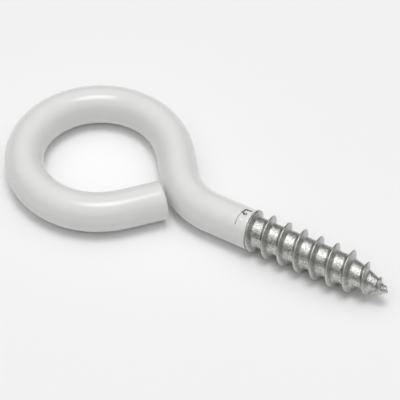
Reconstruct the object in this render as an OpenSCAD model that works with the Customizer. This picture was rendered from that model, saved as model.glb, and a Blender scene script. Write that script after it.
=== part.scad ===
// Plastic coated screw eye with a bare wood thread and a gimlet point.
// Units are millimetres. The eye lies flat: its plane is XY, its hole runs along Z and its
// centre is the origin. The shank and the thread run along +X, towards the point.

/* [Wire] */

// Diameter of the bare steel wire under the coating
wire_diameter = 4; // [3.5:0.1:4.5]

// Thickness of the plastic coating
coating_thickness = 0.5; // [0.3:0.05:0.7]

// Width of the broken edge at both ends of the coating
coating_edge = 0.15; // [0.05:0.05:0.25]

/* [Eye] */

// Clear diameter inside the eye, over the coating
eye_inside_diameter = 14.15; // [13:0.05:16]

// Turn of the round part of the eye, in degrees
eye_turn = 235; // [225:1:238]

// Centreline radius of the flatter bend that closes the eye
closing_bend_radius = 14.2; // [13:0.1:16]

// Turn of the closing bend, in degrees
closing_bend_turn = 11.1; // [8:0.1:13]

// Straight run of wire up to its cut end
cut_end_straight = 4.75; // [3.5:0.05:5]

/* [Neck] */

// Centreline radius of the reverse bend between the shank and the neck
reverse_bend_radius = 8; // [7:0.1:9]

// Turn of the reverse bend, in degrees
reverse_bend_turn = 52.4; // [50:0.1:55]

// Straight run of wire between the two bends of the neck
neck_straight = 4.65; // [4:0.05:6]

// Centreline radius of the bend that leads from the neck into the eye
shoulder_bend_radius = 10.9; // [10:0.1:13]

// Turn of the shoulder bend, in degrees
shoulder_bend_turn = 32.3; // [30:0.1:35]

/* [Shank] */

// Straight coated shank, from the reverse bend to the end of the coating
shank_length = 5.6; // [4:0.1:14]

/* [Thread] */

// Bare thread, from the end of the coating to the very point
screw_length = 18.65; // [15:0.05:26]

// Outside diameter over the crests
crest_diameter = 5.5; // [5.1:0.05:5.7]

// Diameter of the core between the crests
root_diameter = 3.75; // [3.4:0.05:3.9]

// Advance of the thread in one turn
thread_pitch = 2.18; // [1.8:0.02:2.6]

// Width of the flat on the crest
crest_width = 0.34; // [0.2:0.02:0.4]

// Slope of each flank, in degrees from square to the axis
flank_angle = 16; // [12:1:20]

// Run of the fillet where a flank meets the core
root_fillet = 0.12; // [0.06:0.02:0.16]

// Angle round the shank at which the crest leaves the coating, in degrees
thread_start_angle = 54; // [0:1:359]

/* [Gimlet point] */

// Length over which the crests run down to the point
crest_taper_length = 5.4; // [4.5:0.1:6.5]

// Length over which the core runs down to the point
root_taper_length = 5.85; // [5:0.05:7]

// Power of the taper: 1 is a straight cone and less is fuller
point_fullness = 0.6; // [0.5:0.05:0.8]

// Length of the tightly wound last turns
tight_length = 1.5; // [1:0.05:2]

// Advance of the thread in one of the tight last turns
tight_pitch = 1; // [0.9:0.05:1.4]

// How far the very point stands off the axis
point_offset = 0.4; // [0:0.05:0.5]

// Side of the axis that the point leans to, in degrees
point_offset_angle = 218; // [0:1:359]

/* [Hidden] */

$fn = 96;
steps_per_turn = 48;
joint_overlap = 1;

// Share of the thread's height that the rounding at its root takes up
fillet_share = 0.12;

// A straight run between two bends is wound on this very large radius
run_radius = 200;

wire_radius = wire_diameter / 2;
coated_radius = wire_radius + coating_thickness;
eye_radius = eye_inside_diameter / 2 + coated_radius;

// How far below the surface the cores inside the joints stay
core_depth = coating_thickness / 2;

// Turn of a run of wire on the very large radius, in thousandths of a degree
function run_turn(length) = round(length / run_radius * 180 / PI * 1000) / 1000;

// Polar angles, seen from an arc's own centre, at which one arc hands over to the next
shoulder_angle = 90 - reverse_bend_turn + run_turn(neck_straight);
eye_start_angle = shoulder_angle + shoulder_bend_turn;
eye_end_angle = eye_start_angle + eye_turn;
closing_end_angle = eye_end_angle + closing_bend_turn;
neck_angle = shoulder_angle - run_turn(neck_straight);
cut_end_angle = closing_end_angle + run_turn(cut_end_straight);

function ray(angle) = [cos(angle), sin(angle), 0];

shoulder_centre = (eye_radius - shoulder_bend_radius) * ray(eye_start_angle);
neck_centre = shoulder_centre + (shoulder_bend_radius - run_radius) * ray(shoulder_angle);
reverse_centre = neck_centre + (run_radius + reverse_bend_radius) * ray(neck_angle);
shank_start = reverse_centre + reverse_bend_radius * ray(-90);
closing_centre = (eye_radius - closing_bend_radius) * ray(eye_end_angle);
cut_centre = closing_centre + (closing_bend_radius - run_radius) * ray(closing_end_angle);
cut_end = cut_centre + run_radius * ray(cut_end_angle);
thread_origin = shank_start + [shank_length, 0, 0];

// Where two runs of the wire meet, each with the polar angle that its cut faces lie along
wire_joints = [
    [closing_centre + closing_bend_radius * ray(closing_end_angle), closing_end_angle],
    [eye_radius * ray(eye_end_angle), eye_end_angle],
    [eye_radius * ray(eye_start_angle), eye_start_angle],
    [shoulder_centre + shoulder_bend_radius * ray(shoulder_angle), shoulder_angle],
    [neck_centre + run_radius * ray(neck_angle), neck_angle],
    [shank_start, 90]
];

crest_radius = crest_diameter / 2;
root_radius = root_diameter / 2;
tight_start = screw_length - tight_length;
start_turn = thread_start_angle / 360;
tight_turn = start_turn + tight_start / thread_pitch;
first_turn = start_turn - 1;
last_turn = tight_turn + (tight_length + root_fillet + tight_pitch) / tight_pitch;
last_row = ceil((last_turn - first_turn) * steps_per_turn);

// Radii of the core and of the crests at a distance x along the thread
function tapered(radius, taper, x) =
    radius * pow(min(1, max(0, (screw_length - x) / taper)), point_fullness);
function core_at(x) = tapered(root_radius, root_taper_length, x);
function crest_at(x) = tapered(crest_radius, crest_taper_length, x);

// Place of the crest along the thread after a number of turns
function crest_place(turn) = turn < tight_turn
    ? (turn - start_turn) * thread_pitch
    : tight_start + (turn - tight_turn) * tight_pitch;

// Half section of the ridge, [distance from its middle, share of its height], core to crest
function ridge(height) = let(
    half_crest = crest_width / 2,
    run = height * tan(flank_angle)
) [
    [half_crest + run + root_fillet, 0],
    [half_crest + run * (1 - fillet_share), fillet_share],
    [half_crest, 1]
];

// The ridge's points on its near side, then those on its far side
points_per_side = 3;
points_per_row = 2 * points_per_side;
function row_point(row, i) = let(
    angle = (first_turn * 360) + row * 360 / steps_per_turn,
    middle = crest_place(first_turn + row / steps_per_turn),
    half = ridge(crest_at(middle) - core_at(middle)),
    near = i < points_per_side,
    p = near ? half[i] : half[points_per_row - 1 - i],
    x = middle + (near ? -p[0] : p[0])
) on_thread(x, angle, core_at(x) + p[1] * (crest_at(x) - core_at(x)));

function on_thread(x, angle, radius) = let(
    u = max(0, 1 - (screw_length - x) / crest_taper_length),
    lean = point_offset * u * u * ray(point_offset_angle)
) [x, radius * cos(angle) + lean[0], radius * sin(angle) + lean[1]];

// Outline of the thread in the plane where it leaves the coating
function start_point(row) = let(
    angle = (first_turn * 360) + row * 360 / steps_per_turn,
    middle = crest_place(first_turn + row / steps_per_turn),
    nearest = middle - thread_pitch * round(middle / thread_pitch),
    half = ridge(crest_radius - root_radius),
    section = [for (i = [points_per_side - 1:-1:0]) half[i]],
    radius = root_radius + (crest_radius - root_radius) * lookup(abs(nearest), section)
) [0, radius * cos(angle), radius * sin(angle)];

// Moves by a short decimal and then by the small rest, which keeps shared faces in one place
module place(v) {
    coarse = [for (c = v) round(c * 100) / 100];
    translate(coarse)
        translate(v - coarse)
            children();
}

module arc_piece(centre, bend_radius, from, to, radius) {
    place(centre)
        rotate_extrude(angle = to - from, start = from)
            translate([bend_radius, 0])
                circle(r = radius);
}

// A short pin along the middle of a wire, through the faces that meet at a joint
module joint_core(joint, face_angle, radius) {
    translate(joint)
        rotate([90, 0, face_angle])
            cylinder(r = radius - core_depth, h = 2 * joint_overlap, center = true);
}

// The bent wire at a radius, from the cut end, less what is held back there, to the shank.
// A core inside each joint holds the two runs that meet there together.
module bent_wire(radius, held_back, shank) {
    for (joint = wire_joints)
        joint_core(joint[0], joint[1], radius);
    arc_piece(cut_centre, run_radius, closing_end_angle,
        cut_end_angle - run_turn(held_back), radius);
    arc_piece(closing_centre, closing_bend_radius, eye_end_angle, closing_end_angle, radius);
    arc_piece([0, 0, 0], eye_radius, eye_start_angle, eye_end_angle, radius);
    arc_piece(shoulder_centre, shoulder_bend_radius, shoulder_angle, eye_start_angle, radius);
    arc_piece(neck_centre, run_radius, neck_angle, shoulder_angle, radius);
    arc_piece(reverse_centre, reverse_bend_radius, neck_angle + 180, 270, radius);
    place(shank_start)
        rotate([0, 90, 0])
            cylinder(r = radius, h = shank);
}

// What breaks the edge of the coating at an end that faces a direction in the XY plane
module broken_edge(end, direction) {
    place(end)
        rotate([0, 0, direction])
            rotate([0, 90, 0])
                rotate_extrude()
                    polygon([
                        [coated_radius - 2 * coating_edge, coating_edge],
                        [coated_radius + coating_edge, -2 * coating_edge],
                        [coated_radius + coating_edge, coating_edge]
                    ]);
}

// One closed surface wound as a helical strip. Points before the start plane gather on its
// outline and points past the end gather at the very point.
module gimlet_thread() {
    rows = last_row + steps_per_turn;
    apex = on_thread(screw_length, 0, 0);
    grid = [for (row = [0:rows], i = [0:points_per_row - 1]) row_point(row, i)];
    outline = [for (row = [0:steps_per_turn - 1]) start_point(row)];
    outline_first = len(grid);
    apex_index = outline_first + steps_per_turn;

    function index(row, i) = let(
        r = i < points_per_row ? row : row + steps_per_turn,
        k = r * points_per_row + i % points_per_row
    ) grid[k][0] <= 0 ? outline_first + r % steps_per_turn
        : grid[k][0] >= screw_length ? apex_index : k;
    function real(t) = t[0] != t[1] && t[1] != t[2] && t[2] != t[0];

    strip = [
        for (row = [0:last_row - 1], i = [0:points_per_row - 1])
            let(a = index(row, i), b = index(row, i + 1),
                c = index(row + 1, i + 1), d = index(row + 1, i))
            for (t = [[a, b, c], [a, c, d]]) if (real(t)) t
    ];
    start_face = [[for (k = [0:steps_per_turn - 1]) outline_first + k]];
    polyhedron(points = concat(grid, outline, [apex]), faces = concat(strip, start_face));
}

module steel_screw_eye() {
    color("silver") {
        bent_wire(wire_radius, coating_thickness, shank_length);
        joint_core(thread_origin, 90, root_radius);
        place(thread_origin)
            gimlet_thread();
    }
}

module plastic_coating() {
    color("white")
        difference() {
            bent_wire(coated_radius, 0, shank_length);
            bent_wire(wire_radius, coating_thickness, shank_length + joint_overlap);
            broken_edge(cut_end, cut_end_angle + 90);
            broken_edge(thread_origin, 0);
        }
}

steel_screw_eye();
plastic_coating();
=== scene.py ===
"""The looks of a plastic coated screw eye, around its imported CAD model.

Both pieces are modelled here as closed meshes of their own, on the same sizes as the CAD:
the glossy white coating, with its soft slanting end and one scuff, and the zinc plated steel,
with thin worn crests and a gimlet point. Driving sizes are millimetres.
"""

import math

import bpy
from mathutils import Matrix, Vector, noise


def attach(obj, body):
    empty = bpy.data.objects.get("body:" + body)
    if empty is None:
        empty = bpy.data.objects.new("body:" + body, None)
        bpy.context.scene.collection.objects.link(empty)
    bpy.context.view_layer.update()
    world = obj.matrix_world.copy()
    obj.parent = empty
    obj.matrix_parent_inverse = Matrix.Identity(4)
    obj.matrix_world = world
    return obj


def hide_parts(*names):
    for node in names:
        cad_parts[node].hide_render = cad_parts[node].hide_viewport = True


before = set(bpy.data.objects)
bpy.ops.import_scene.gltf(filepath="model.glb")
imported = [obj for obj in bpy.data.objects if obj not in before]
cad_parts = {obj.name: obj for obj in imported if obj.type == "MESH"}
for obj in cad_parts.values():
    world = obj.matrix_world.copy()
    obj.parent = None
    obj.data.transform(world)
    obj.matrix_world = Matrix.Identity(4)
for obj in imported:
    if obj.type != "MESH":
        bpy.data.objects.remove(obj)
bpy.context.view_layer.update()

MM = 0.001

# Wire and coating, as the CAD has them
WIRE_RADIUS = 2.0
COATING = 0.5
COATED_RADIUS = WIRE_RADIUS + COATING

# Bends of the wire: radius of its centreline, and turn in degrees
EYE_RADIUS = 14.15 / 2 + COATED_RADIUS
EYE_TURN = 235
CLOSING_RADIUS, CLOSING_TURN = 14.2, 11.1
SHOULDER_RADIUS, SHOULDER_TURN = 10.9, 32.3
REVERSE_RADIUS, REVERSE_TURN = 8.0, 52.4
RUN_RADIUS = 200.0
CUT_END_STRAIGHT, NECK_STRAIGHT, SHANK_LENGTH = 4.75, 4.65, 5.6

# Thread: the CAD's pitch, length and point, with a lower crest that starts further round
SCREW_LENGTH = 18.65
CREST_RADIUS, ROOT_RADIUS = 5.34 / 2, 3.72 / 2
PITCH, TIGHT_PITCH, TIGHT_LENGTH = 2.18, 1.0, 1.5
CREST_TAPER, ROOT_TAPER, FULLNESS = 5.4, 5.85, 0.6
THREAD_START = 61 / 360
POINT_OFFSET, POINT_SIDE = 0.4, math.radians(218)

UP = Vector((0, 0, 1))


def ray(degrees):
    """Unit vector in the plane of the eye at a polar angle."""
    angle = math.radians(degrees)
    return Vector((math.cos(angle), math.sin(angle), 0))


def run_turn(length):
    """Turn of a straight run, which the CAD winds on a very large radius."""
    return math.degrees(length / RUN_RADIUS)


def limited(share):
    """A share kept between 0 and 1."""
    return min(1, max(0, share))


def smooth(share):
    """A soft step from 0 to 1."""
    share = limited(share)
    return share * share * (3 - 2 * share)


# ---------------------------------------------------------------- path of the wire

SHOULDER_ANGLE = 90 - REVERSE_TURN + run_turn(NECK_STRAIGHT)
EYE_START = SHOULDER_ANGLE + SHOULDER_TURN
EYE_END = EYE_START + EYE_TURN
CLOSING_END = EYE_END + CLOSING_TURN
NECK_ANGLE = SHOULDER_ANGLE - run_turn(NECK_STRAIGHT)
CUT_END = CLOSING_END + run_turn(CUT_END_STRAIGHT)

SHOULDER_CENTRE = (EYE_RADIUS - SHOULDER_RADIUS) * ray(EYE_START)
NECK_CENTRE = SHOULDER_CENTRE + (SHOULDER_RADIUS - RUN_RADIUS) * ray(SHOULDER_ANGLE)
REVERSE_CENTRE = NECK_CENTRE + (RUN_RADIUS + REVERSE_RADIUS) * ray(NECK_ANGLE)
CLOSING_CENTRE = (EYE_RADIUS - CLOSING_RADIUS) * ray(EYE_END)
CUT_CENTRE = CLOSING_CENTRE + (CLOSING_RADIUS - RUN_RADIUS) * ray(CLOSING_END)
SHANK_START = REVERSE_CENTRE + REVERSE_RADIUS * ray(-90)
THREAD_ORIGIN = SHANK_START + Vector((SHANK_LENGTH, 0, 0))

# Arcs from the cut end to the shank: centre, radius, first and last polar angle
ARCS = (
    (CUT_CENTRE, RUN_RADIUS, CUT_END, CLOSING_END),
    (CLOSING_CENTRE, CLOSING_RADIUS, CLOSING_END, EYE_END),
    (Vector((0, 0, 0)), EYE_RADIUS, EYE_END, EYE_START),
    (SHOULDER_CENTRE, SHOULDER_RADIUS, EYE_START, SHOULDER_ANGLE),
    (NECK_CENTRE, RUN_RADIUS, SHOULDER_ANGLE, NECK_ANGLE),
    (REVERSE_CENTRE, REVERSE_RADIUS, NECK_ANGLE + 180, 270),
)


def arc_length(arc):
    _, radius, first, last = arc
    return radius * math.radians(abs(last - first))


BENT_LENGTH = sum(arc_length(arc) for arc in ARCS)
COATING_LENGTH = BENT_LENGTH + SHANK_LENGTH


def station(along):
    """Centre of the wire at a distance from its cut end, and the way across it in the plane."""
    for arc in ARCS:
        length = arc_length(arc)
        if along <= length:
            centre, radius, first, last = arc
            angle = first + (last - first) * along / length
            return centre + radius * ray(angle), ray(angle) * (1 if last < first else -1)
        along -= length
    return SHANK_START + Vector((along, 0, 0)), Vector((0, 1, 0))


def on_wire(along, angle, radius):
    """Point round the wire: angle in radians, from across the wire towards up."""
    centre, across = station(along)
    return centre + radius * (math.cos(angle) * across + math.sin(angle) * UP)


# ---------------------------------------------------------------- meshes


def add_piece(name, points, faces, node, material, share_name, shares):
    """A closed smooth mesh in metres that stands for a CAD node, with a share at each point."""
    mesh = bpy.data.meshes.new(name)
    mesh.from_pydata([point * MM for point in points], [], faces)
    mesh.validate()
    mesh.polygons.foreach_set("use_smooth", [True] * len(mesh.polygons))
    mesh.attributes.new(share_name, "FLOAT", "POINT").data.foreach_set("value", shares)
    piece = bpy.data.objects.new(name, mesh)
    bpy.context.scene.collection.objects.link(piece)
    piece.data.materials.append(material)
    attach(piece, "root")
    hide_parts(node)


def round_pairs(around):
    """Each point of a ring with the next one."""
    return [(i, (i + 1) % around) for i in range(around)]


def ring_faces(rings, around):
    """Quads between rings of points that were added one after the other."""
    return [(a + i, a + around + i, a + around + j, a + j)
            for a in range(0, (rings - 1) * around, around)
            for i, j in round_pairs(around)]


# ---------------------------------------------------------------- coating

# The scuff in the coating, stroke by stroke: how strong and how wide it is, and its points, as
# distance along the shank and angle round it in degrees
SCUFF = (
    (0.5, 0.08, ((4.1, 131), (4.03, 116), (4.05, 104), (4.14, 97), (4.27, 88))),
    (0.9, 0.12, ((4.27, 88), (4.3, 82), (4.42, 74), (4.56, 72))),
    (1.0, 0.13, ((4.72, 73), (5.12, 71))),
    (1.0, 0.14, ((4.5, 91), (4.66, 93))),
    (0.8, 0.1, ((4.86, 89), (4.94, 90))),
)

# How deep the scuff is, how ragged, and how finely ragged along the shank and round it
SCUFF_DEPTH = 0.06
RAGGED, RAGGED_ALONG, RAGGED_ROUND = 1.1, 7, 18

# A small blister beside the scuff
BLISTER, BLISTER_HEIGHT, BLISTER_WIDTH = (4.47, 114), 0.045, 0.18

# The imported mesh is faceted, so the coating here lies this much inside its exact size
SKIN = 0.002

# The end of the coating by the thread: its slant over the shank, its waves and its rounding
END_DRIFT, END_DRIFT_SIDE, END_DRIFT_RUN = 0.3, math.radians(245), 2.0
END_OVERRUN = 0.1
END_WAVE, WAVE_SCALE = 0.05, 3.5
EDGE_ROUNDING = 0.16
CUT_EDGE_ROUNDING = 0.3

# Points of the coating: rings along the wire and angles round it, close together at the scuff
CAP_RADII = (0.7, 1.4)
EDGE_STEPS = 7
RING_STEP, FINE_RING_STEP = 0.4, 0.045
SCUFF_START, SCUFF_END, SCUFF_MARGIN = 3.8, 5.3, 0.3
ANGLE_STEP, FINE_ANGLE_STEP = 3.0, 1.0
FINE_FROM, FINE_TO = 62, 142
MOUTH_DEPTH, MOUTH_FLARE, INSIDE_DEPTH = 0.02, 0.03, 0.05
INSIDE_RINGS = 90


def coating_angles():
    """Angles round the wire in radians, close together where the scuff is."""
    fine = int((FINE_TO - FINE_FROM) / FINE_ANGLE_STEP)
    rest = 360 - (FINE_TO - FINE_FROM)
    coarse = int(rest / ANGLE_STEP)
    angles = [FINE_FROM + FINE_ANGLE_STEP * i for i in range(fine)]
    angles += [FINE_TO + rest * i / coarse for i in range(coarse)]
    return [math.radians(angle) for angle in angles]


def coating_side():
    """Rings along the outside, close together where the scuff is."""
    rings = []
    along = CUT_EDGE_ROUNDING + RING_STEP
    while along < COATING_LENGTH - 2 * EDGE_ROUNDING:
        rings.append((along, COATED_RADIUS))
        at_scuff = SCUFF_START < along - BENT_LENGTH < SCUFF_END
        along += FINE_RING_STEP if at_scuff else RING_STEP
    return rings


def coating_rings():
    """Rings from the middle of the cut end, over the outside, to the inside: place and radius."""
    quarter = [math.pi / 2 * i / EDGE_STEPS for i in range(EDGE_STEPS + 1)]
    cap = [(0, radius) for radius in CAP_RADII]
    cut_edge = [(CUT_EDGE_ROUNDING * (1 - math.cos(turn)),
                 COATED_RADIUS - CUT_EDGE_ROUNDING * (1 - math.sin(turn))) for turn in quarter]
    end_edge = [(COATING_LENGTH - EDGE_ROUNDING * (1 - math.sin(turn)),
                 COATED_RADIUS - EDGE_ROUNDING * (1 - math.cos(turn))) for turn in quarter]
    mouth = [(COATING_LENGTH - MOUTH_DEPTH, WIRE_RADIUS + MOUTH_FLARE)]
    inside_end = COATING_LENGTH - INSIDE_DEPTH
    inside = [(inside_end - (inside_end - COATING) * i / INSIDE_RINGS, WIRE_RADIUS)
              for i in range(INSIDE_RINGS + 1)]
    inside_cap = [(COATING, WIRE_RADIUS / 2)]
    return cap + cut_edge + coating_side() + end_edge + mouth + inside + inside_cap


def on_surface(along, degrees):
    """The coating's surface unrolled flat, in millimetres."""
    return Vector((along, math.radians(degrees) * COATED_RADIUS))


def distance_to_stroke(here, stroke):
    """Distance over the surface to the nearest place on a stroke."""
    corners = [on_surface(*corner) for corner in stroke]
    distances = []
    for a, b in zip(corners, corners[1:]):
        share = limited((here - a).dot(b - a) / (b - a).length_squared)
        distances.append((here - a - share * (b - a)).length)
    return min(distances)


def scuff_share(along, angle):
    """How strongly the scuff marks a place on the shank."""
    here = on_surface(along, math.degrees(angle))
    ragged = 1 + RAGGED * noise.noise(Vector((along * RAGGED_ALONG, angle * RAGGED_ROUND, 0)))
    return max(strength * math.exp(-(distance_to_stroke(here, stroke) * ragged / width) ** 2)
               for strength, width, stroke in SCUFF)


def blister_height(along, angle):
    """Height of the blister at a place on the shank."""
    away = (on_surface(along, math.degrees(angle)) - on_surface(*BLISTER)).length
    return BLISTER_HEIGHT * math.exp(-(away / BLISTER_WIDTH) ** 2)


def coating_point(along, angle, radius):
    """Place of a point of the coating, and its share of the scuff."""
    scuff = height = 0.0
    along_shank = along - BENT_LENGTH
    if radius > WIRE_RADIUS and along_shank > SCUFF_START - SCUFF_MARGIN:
        scuff = scuff_share(along_shank, angle)
        height = blister_height(along_shank, angle) - SCUFF_DEPTH * scuff
    near_end = smooth(1 - (COATING_LENGTH - along) / END_DRIFT_RUN)
    drift = END_DRIFT * math.cos(angle - END_DRIFT_SIDE) + END_OVERRUN
    wave = END_WAVE * noise.noise(Vector((math.cos(angle), math.sin(angle), 7)) * WAVE_SCALE)
    return on_wire(along + near_end * (drift + wave), angle, radius - SKIN + height), scuff


def add_coating(material):
    angles = coating_angles()
    rings = coating_rings()
    points, scuff = [], []
    for along, radius in rings:
        for angle in angles:
            place, share = coating_point(along, angle, radius)
            points.append(place)
            scuff.append(share)
    faces = ring_faces(len(rings), len(angles))
    first, last = len(points), len(points) + 1
    last_ring = first - len(angles)
    for i, j in round_pairs(len(angles)):
        faces.append((first, i, j))
        faces.append((last, last_ring + j, last_ring + i))
    points += [on_wire(0, 0, 0), on_wire(COATING, 0, 0)]
    scuff += [0.0, 0.0]
    add_piece("coating", points, faces, "plastic_coating", material,
              "scuff", scuff)


# ---------------------------------------------------------------- steel

# Section of the ridge at its full height, as offsets from its middle: from its foot on the eye's
# side to its lip there, and from its lip on the tip's side, over a fuller flank, to its foot there
EYE_FOOT, EYE_LIP, TIP_LIP, TIP_FOOT = -0.48, -0.06, 0.03, 0.5
EYE_HOLLOW, TIP_FULLNESS, TIP_FILLET = 1.25, 1.7, 1.4

# Offsets from the middle at which a section has points, up to the middle of a root
SECTION = (-0.95, -0.8, -0.7, -0.62, -0.54, -0.46, -0.38, -0.3, -0.24, -0.19, -0.16, -0.12, -0.08,
           -0.03, 0.03, 0.08, 0.12, 0.15, 0.18, 0.21, 0.24, 0.27, 0.31, 0.37, 0.46, 0.6, 0.8, 1.0)
STEPS_PER_TURN = 96

# The thread was rolled a little askew: its crests sway along the shank once a turn, and it
# stands a little off the middle of the shank
SWAY, SWAY_SIDE = 0.27, math.radians(-52)
OFF_CENTRE, OFF_CENTRE_SIDE, OFF_CENTRE_FADE = 0.09, math.radians(38), 3

# The first crest is pushed on where it leaves the coating, over a part of a turn
START_PUSH, PUSH_FROM, PUSH_TURN = 0.36, -0.1, 0.2

# The crest is worn here and there, and the whole surface is a little uneven
CREST_WEAR, WEAR_SCALE, WEAR_BIAS = 0.05, 2.6, 0.2
GRAIN, GRAIN_SCALE = 0.006, 4

# The section narrows as the ridge gets lower, until the ridge is no higher than this
LEAST_HEIGHT = 0.01

# The wire inside the coating: rings this far apart, and this clear of the coating
HIDDEN_STEP = 0.6
HIDDEN_GAP = 0.01

TIGHT_START = SCREW_LENGTH - TIGHT_LENGTH
TIGHT_TURN = THREAD_START + TIGHT_START / PITCH
FIRST_TURN = THREAD_START - 1
LAST_TURN = TIGHT_TURN + (TIGHT_LENGTH + TIGHT_PITCH) / TIGHT_PITCH
LAST_ROW = math.ceil((LAST_TURN - FIRST_TURN) * STEPS_PER_TURN)


def tapered(radius, taper, x):
    """What a radius of the thread has become at x, on its way to nothing at the point."""
    return radius * limited((SCREW_LENGTH - x) / taper) ** FULLNESS


def crest_place(turn):
    """Place of the crest along the thread after a number of turns."""
    if turn < TIGHT_TURN:
        return (turn - THREAD_START) * PITCH
    return TIGHT_START + (turn - TIGHT_TURN) * TIGHT_PITCH


def ridge_share(offset):
    """Share of the ridge's height at an offset from its middle."""
    if offset < 0:
        return limited((offset - EYE_FOOT) / (EYE_LIP - EYE_FOOT)) ** EYE_HOLLOW
    past_lip = limited((offset - TIP_LIP) / (TIP_FOOT - TIP_LIP))
    return (1 - past_lip ** TIP_FULLNESS) ** TIP_FILLET


def ridge_radius(x, offset):
    """Radius of the thread at x along it, at an offset from the nearest crest."""
    core = tapered(ROOT_RADIUS, ROOT_TAPER, x)
    height = tapered(CREST_RADIUS, CREST_TAPER, x) - core
    narrowing = math.sqrt(max(height, LEAST_HEIGHT) / (CREST_RADIUS - ROOT_RADIUS))
    return core + height * ridge_share(offset / narrowing)


def swayed(x, turn, share):
    """Place along the thread of a point of the true helix, after the push and the sway."""
    pushed = 1 - smooth((turn - THREAD_START - PUSH_FROM) / PUSH_TURN)
    x += START_PUSH * pushed * (1 - share)
    side = math.cos(turn * 2 * math.pi - SWAY_SIDE)
    return x + SWAY * side * smooth((SCREW_LENGTH - x) / CREST_TAPER)


def thread_point(turn, share):
    """Point of the thread, a share of the way from this turn's crest to the next one."""
    here, following = crest_place(turn), crest_place(turn + 1)
    x = here + share * (following - here)
    offset = x - here if x - here < following - x else x - following
    radius = ridge_radius(x, offset)
    angle = turn * 2 * math.pi
    lift = smooth((radius - ROOT_RADIUS) / (CREST_RADIUS - ROOT_RADIUS))
    seed = Vector((x, radius * math.cos(angle), radius * math.sin(angle)))
    wear = CREST_WEAR * lift * max(0, WEAR_BIAS + noise.noise(seed * WEAR_SCALE))
    grain = GRAIN * (noise.noise(seed * GRAIN_SCALE) - lift)
    x = swayed(x, turn, share)
    off_centre = OFF_CENTRE * smooth(x) * smooth((SCREW_LENGTH - x) / OFF_CENTRE_FADE)
    radius += grain - wear
    radius += off_centre * math.cos(angle - OFF_CENTRE_SIDE)
    lean = max(0, 1 - (SCREW_LENGTH - x) / CREST_TAPER) ** 2 * POINT_OFFSET
    return Vector((x, radius * math.cos(angle) + lean * math.cos(POINT_SIDE),
                   radius * math.sin(angle) + lean * math.sin(POINT_SIDE))), lift


def hidden_wire(turns):
    """Rings of the wire inside the coating, and last the thread's outline where it starts."""
    angles = [turn * 2 * math.pi for turn in turns]
    rows = math.ceil((COATING_LENGTH - COATING) / HIDDEN_STEP)
    points = []
    for i in range(rows + 1):
        along = COATING + (COATING_LENGTH - COATING) * i / rows - (HIDDEN_GAP if i else 0)
        points += [on_wire(along, angle, WIRE_RADIUS - HIDDEN_GAP) for angle in angles]
    for turn, angle in zip(turns, angles):
        middle = crest_place(turn)
        offset = PITCH * round(middle / PITCH) - middle
        points.append(on_wire(COATING_LENGTH, angle, ridge_radius(0, offset)))
    return points


def without_spare_points(points, shares, faces):
    """The same mesh with only the points that a face uses."""
    used = sorted({corner for face in faces for corner in face})
    renumbered = {old: new for new, old in enumerate(used)}
    faces = [tuple(renumbered[corner] for corner in face) for face in faces]
    return [points[old] for old in used], [shares[old] for old in used], faces


def thread_faces(places, per_row, outline, apex, grid):
    """The thread, wound as one strip over rows of points that are numbered from grid. Points
    before its start gather on the outline, and points past its end at the apex."""

    def index(row, i):
        row, i = row + STEPS_PER_TURN * (i // per_row), i % per_row
        place = places[row * per_row + i]
        if place.x <= 0:
            return outline + row % STEPS_PER_TURN
        if place.x >= SCREW_LENGTH - HIDDEN_GAP:
            return apex
        return grid + row * per_row + i

    faces = []
    for row in range(LAST_ROW):
        for i in range(per_row):
            corners = (index(row, i), index(row, i + 1), index(row + 1, i + 1), index(row + 1, i))
            corners = tuple(dict.fromkeys(corners))
            if len(corners) > 2:
                faces.append(corners)
    return faces


def add_steel(material):
    turns = [FIRST_TURN + row / STEPS_PER_TURN for row in range(LAST_ROW + STEPS_PER_TURN + 1)]
    shares = sorted(offset / PITCH % 1 for offset in SECTION)

    points = hidden_wire(turns[:STEPS_PER_TURN])
    outline = len(points) - STEPS_PER_TURN
    cut_middle, apex, grid = len(points), len(points) + 1, len(points) + 2
    faces = ring_faces(len(points) // STEPS_PER_TURN, STEPS_PER_TURN)
    faces += [(cut_middle, i, j) for i, j in round_pairs(STEPS_PER_TURN)]
    aside = POINT_OFFSET * Vector((0, math.cos(POINT_SIDE), math.sin(POINT_SIDE)))
    points.append(on_wire(COATING, 0, 0))
    points.append(THREAD_ORIGIN + Vector((SCREW_LENGTH - HIDDEN_GAP, 0, 0)) + aside)
    crest = [0.0] * len(points)

    places = []
    for turn in turns:
        for share in shares:
            place, lift = thread_point(turn, share)
            places.append(place)
            points.append(THREAD_ORIGIN + place)
            crest.append(lift)
    faces += thread_faces(places, len(shares), outline, apex, grid)

    points, crest, faces = without_spare_points(points, crest, faces)
    add_piece("steel", points, faces, "steel_screw_eye", material,
              "crest", crest)


# ---------------------------------------------------------------- materials

# Linear red, green and blue. Plastic and zinc are clouded from a darker to a lighter colour and
# from a lower to a higher roughness
PLASTIC_DARK, PLASTIC_LIGHT = (0.775, 0.775, 0.76), (0.79, 0.795, 0.785)
PLASTIC_GLOSSY, PLASTIC_DULL, PLASTIC_IOR = 0.19, 0.25, 1.5
SCUFF_COLOUR = (0.08, 0.08, 0.07)
ZINC_DARK, ZINC_LIGHT = (0.32, 0.32, 0.305), (0.72, 0.72, 0.69)
ZINC_GLOSSY, ZINC_DULL = 0.27, 0.35
CREST_COLOUR = (0.58, 0.58, 0.56)
PAPER_COLOUR = (0.93, 0.93, 0.93)
WHITE = (1.0, 1.0, 1.0)

# Sockets of the mix node that hold its two colours, and the one that gives the mixed colour
FIRST_COLOUR, SECOND_COLOUR, MIXED_COLOUR = 6, 7, 2


def new_material(name):
    material = bpy.data.materials.new(name)
    material.use_nodes = True
    nodes = material.node_tree.nodes
    return material, nodes, material.node_tree.links, nodes["Principled BSDF"]


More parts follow.
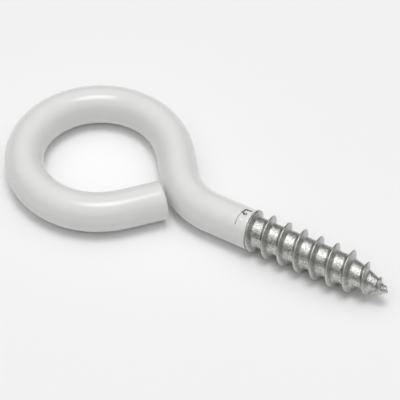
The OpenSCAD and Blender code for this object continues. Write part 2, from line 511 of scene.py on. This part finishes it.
def millimetres(nodes, links):
    """The piece's own coordinates, in millimetres."""
    coordinates = nodes.new("ShaderNodeTexCoord")
    mapping = nodes.new("ShaderNodeMapping")
    mapping.inputs["Scale"].default_value = (1 / MM,) * 3
    links.new(coordinates.outputs["Object"], mapping.inputs["Vector"])
    return mapping.outputs["Vector"]


def add_noise(nodes, links, where, scale, detail, roughness=0.5):
    texture = nodes.new("ShaderNodeTexNoise")
    texture.inputs["Scale"].default_value = scale
    texture.inputs["Detail"].default_value = detail
    texture.inputs["Roughness"].default_value = roughness
    links.new(where, texture.inputs["Vector"])
    return texture.outputs["Fac"]


def add_ramp(nodes, links, value, stops):
    """Colours along a value: (position, colour or grey) stops."""
    ramp = nodes.new("ShaderNodeValToRGB")
    elements = ramp.color_ramp.elements
    while len(elements) < len(stops):
        elements.new(0.5)
    for element, (position, colour) in zip(elements, stops):
        element.position = position
        element.color = (*(colour if isinstance(colour, tuple) else (colour,) * 3), 1)
    links.new(value, ramp.inputs["Fac"])
    return ramp.outputs["Color"]


def add_bump(nodes, links, height, distance, normal=None):
    bump = nodes.new("ShaderNodeBump")
    bump.inputs["Distance"].default_value = distance * MM
    links.new(height, bump.inputs["Height"])
    if normal is not None:
        links.new(normal, bump.inputs["Normal"])
    return bump.outputs["Normal"]


def mix_colours(nodes, links, share, first, second):
    """From a linked colour to a plain one."""
    mix = nodes.new("ShaderNodeMix")
    mix.data_type = "RGBA"
    links.new(share, mix.inputs["Factor"])
    links.new(first, mix.inputs[FIRST_COLOUR])
    mix.inputs[SECOND_COLOUR].default_value = (*second, 1)
    return mix.outputs[MIXED_COLOUR]


def attribute(nodes, name):
    node = nodes.new("ShaderNodeAttribute")
    node.attribute_name = name
    return node.outputs["Fac"]


def white_plastic():
    """Glossy dipped plastic: nearly even, with a faint orange peel and a dark scuff."""
    material, nodes, links, shader = new_material("white_plastic")
    where = millimetres(nodes, links)
    cloud = add_noise(nodes, links, where, scale=0.35, detail=3)
    cloud = add_ramp(nodes, links, cloud, ((0.35, PLASTIC_DARK), (0.65, PLASTIC_LIGHT)))
    scuff = add_ramp(nodes, links, attribute(nodes, "scuff"), ((0.12, 0.0), (0.6, 1.0)))
    colour = mix_colours(nodes, links, scuff, cloud, SCUFF_COLOUR)
    links.new(colour, shader.inputs["Base Color"])
    gloss = add_noise(nodes, links, where, scale=1.2, detail=4)
    gloss = add_ramp(nodes, links, gloss, ((0.3, PLASTIC_GLOSSY), (0.7, PLASTIC_DULL)))
    links.new(gloss, shader.inputs["Roughness"])
    shader.inputs["IOR"].default_value = PLASTIC_IOR
    peel = add_noise(nodes, links, where, scale=0.8, detail=1)
    peel = add_bump(nodes, links, peel, distance=0.006)
    fine = add_noise(nodes, links, where, scale=5, detail=2)
    fine = add_bump(nodes, links, fine, distance=0.0006, normal=peel)
    links.new(fine, shader.inputs["Normal"])
    return material


def zinc_plated_steel():
    """Bright zinc over a rolled thread: grainy in the roots and evener on the crests."""
    material, nodes, links, shader = new_material("zinc_plated_steel")
    where = millimetres(nodes, links)
    grain = add_noise(nodes, links, where, scale=5, detail=4, roughness=0.6)
    base = add_ramp(nodes, links, grain, ((0.36, ZINC_DARK), (0.62, ZINC_LIGHT)))
    crest = add_ramp(nodes, links, attribute(nodes, "crest"), ((0.5, 0.0), (1.0, 1.0)))
    colour = mix_colours(nodes, links, crest, base, CREST_COLOUR)
    links.new(colour, shader.inputs["Base Color"])
    shader.inputs["Metallic"].default_value = 1.0
    dull = add_noise(nodes, links, where, scale=3, detail=4)
    dull = add_ramp(nodes, links, dull, ((0.3, ZINC_GLOSSY), (0.7, ZINC_DULL)))
    links.new(dull, shader.inputs["Roughness"])
    coarse = add_noise(nodes, links, where, scale=4, detail=3, roughness=0.7)
    coarse = add_bump(nodes, links, coarse, distance=0.07)
    fine = add_noise(nodes, links, where, scale=12, detail=3, roughness=0.6)
    fine = add_bump(nodes, links, fine, distance=0.01, normal=coarse)
    links.new(fine, shader.inputs["Normal"])
    return material


def floor_paper():
    material, _, _, shader = new_material("floor_paper")
    shader.inputs["Base Color"].default_value = (*PAPER_COLOUR, 1)
    shader.inputs["Roughness"].default_value = 0.9
    shader.inputs["Specular IOR Level"].default_value = 0.1
    return material


# ---------------------------------------------------------------- stage, lights and camera

# The part lies on its thread. The floor's size and the softbox's are metres
FLOOR_SIZE = 3.0
FLOOR_HEIGHT = -CREST_RADIUS * MM

# A small softbox hangs straight over the part. The room is bright above and dim low down, by
# the sine of the height, and its bright part leans a little towards the camera
SOFTBOX_HEIGHT, SOFTBOX_SIZE = 1.0, 0.38
SOFTBOX_GLOW = 7.0
ROOM = ((0.0, 0.08), (0.4, 0.02), (0.6, 0.62), (0.79, 0.97), (1.0, 0.97))
ROOM_LEAN = math.radians(2)

CAMERA_AZIMUTH = math.radians(28.619)
CAMERA_ELEVATION = math.radians(48.004)
CAMERA_ROLL = math.radians(1.171)
CAMERA_DISTANCE = 192.431
CAMERA_TARGET = Vector((14.938, -0.048, 0))
LENS, SENSOR_WIDTH = 138.17, 36
CLIP_START, CLIP_END = 0.01, 20


def add_floor():
    half = FLOOR_SIZE / 2
    corners = [(x * half, y * half, FLOOR_HEIGHT) for x, y in ((-1, -1), (1, -1), (1, 1), (-1, 1))]
    mesh = bpy.data.meshes.new("floor")
    mesh.from_pydata(corners, [], [(0, 1, 2, 3)])
    floor = bpy.data.objects.new("floor", mesh)
    bpy.context.scene.collection.objects.link(floor)
    floor.data.materials.append(floor_paper())


def add_camera():
    back = Vector((math.sin(CAMERA_AZIMUTH) * math.cos(CAMERA_ELEVATION),
                   -math.cos(CAMERA_AZIMUTH) * math.cos(CAMERA_ELEVATION),
                   math.sin(CAMERA_ELEVATION)))
    right = UP.cross(back).normalized()
    up = back.cross(right)
    rolled_right = math.cos(CAMERA_ROLL) * right + math.sin(CAMERA_ROLL) * up
    rolled_up = math.cos(CAMERA_ROLL) * up - math.sin(CAMERA_ROLL) * right
    data = bpy.data.cameras.new("camera")
    data.lens = LENS
    data.sensor_width = SENSOR_WIDTH
    data.clip_start = CLIP_START
    data.clip_end = CLIP_END
    camera = bpy.data.objects.new("camera", data)
    turn = Matrix((rolled_right, rolled_up, back)).transposed().to_4x4()
    place = (CAMERA_TARGET + CAMERA_DISTANCE * back) * MM
    camera.matrix_world = Matrix.Translation(place) @ turn
    bpy.context.scene.collection.objects.link(camera)
    bpy.context.scene.camera = camera


def add_softbox():
    data = bpy.data.lights.new("softbox", "AREA")
    data.shape = "SQUARE"
    data.size = SOFTBOX_SIZE
    data.energy = SOFTBOX_GLOW * math.pi * SOFTBOX_SIZE ** 2
    softbox = bpy.data.objects.new("softbox", data)
    softbox.location = CAMERA_TARGET * MM + UP * SOFTBOX_HEIGHT
    softbox.rotation_euler = (0, 0, CAMERA_AZIMUTH)
    bpy.context.scene.collection.objects.link(softbox)


def set_world():
    """Soft room light, dim near the horizon. The camera sees white past the floor."""
    world = bpy.data.worlds.new("room")
    bpy.context.scene.world = world
    world.use_nodes = True
    nodes, links = world.node_tree.nodes, world.node_tree.links
    camera_side = Vector((math.sin(CAMERA_AZIMUTH), -math.cos(CAMERA_AZIMUTH), 0))
    coordinates = nodes.new("ShaderNodeTexCoord")
    height = nodes.new("ShaderNodeVectorMath")
    height.operation = "DOT_PRODUCT"
    height.inputs[1].default_value = math.cos(ROOM_LEAN) * UP + math.sin(ROOM_LEAN) * camera_side
    links.new(coordinates.outputs["Generated"], height.inputs[0])
    room = add_ramp(nodes, links, height.outputs["Value"], ROOM)
    path = nodes.new("ShaderNodeLightPath")
    colour = mix_colours(nodes, links, path.outputs["Is Camera Ray"], room, WHITE)
    links.new(colour, nodes["Background"].inputs["Color"])


bpy.context.scene.view_settings.view_transform = "Standard"
add_coating(white_plastic())
add_steel(zinc_plated_steel())
add_floor()
add_softbox()
set_world()
add_camera()
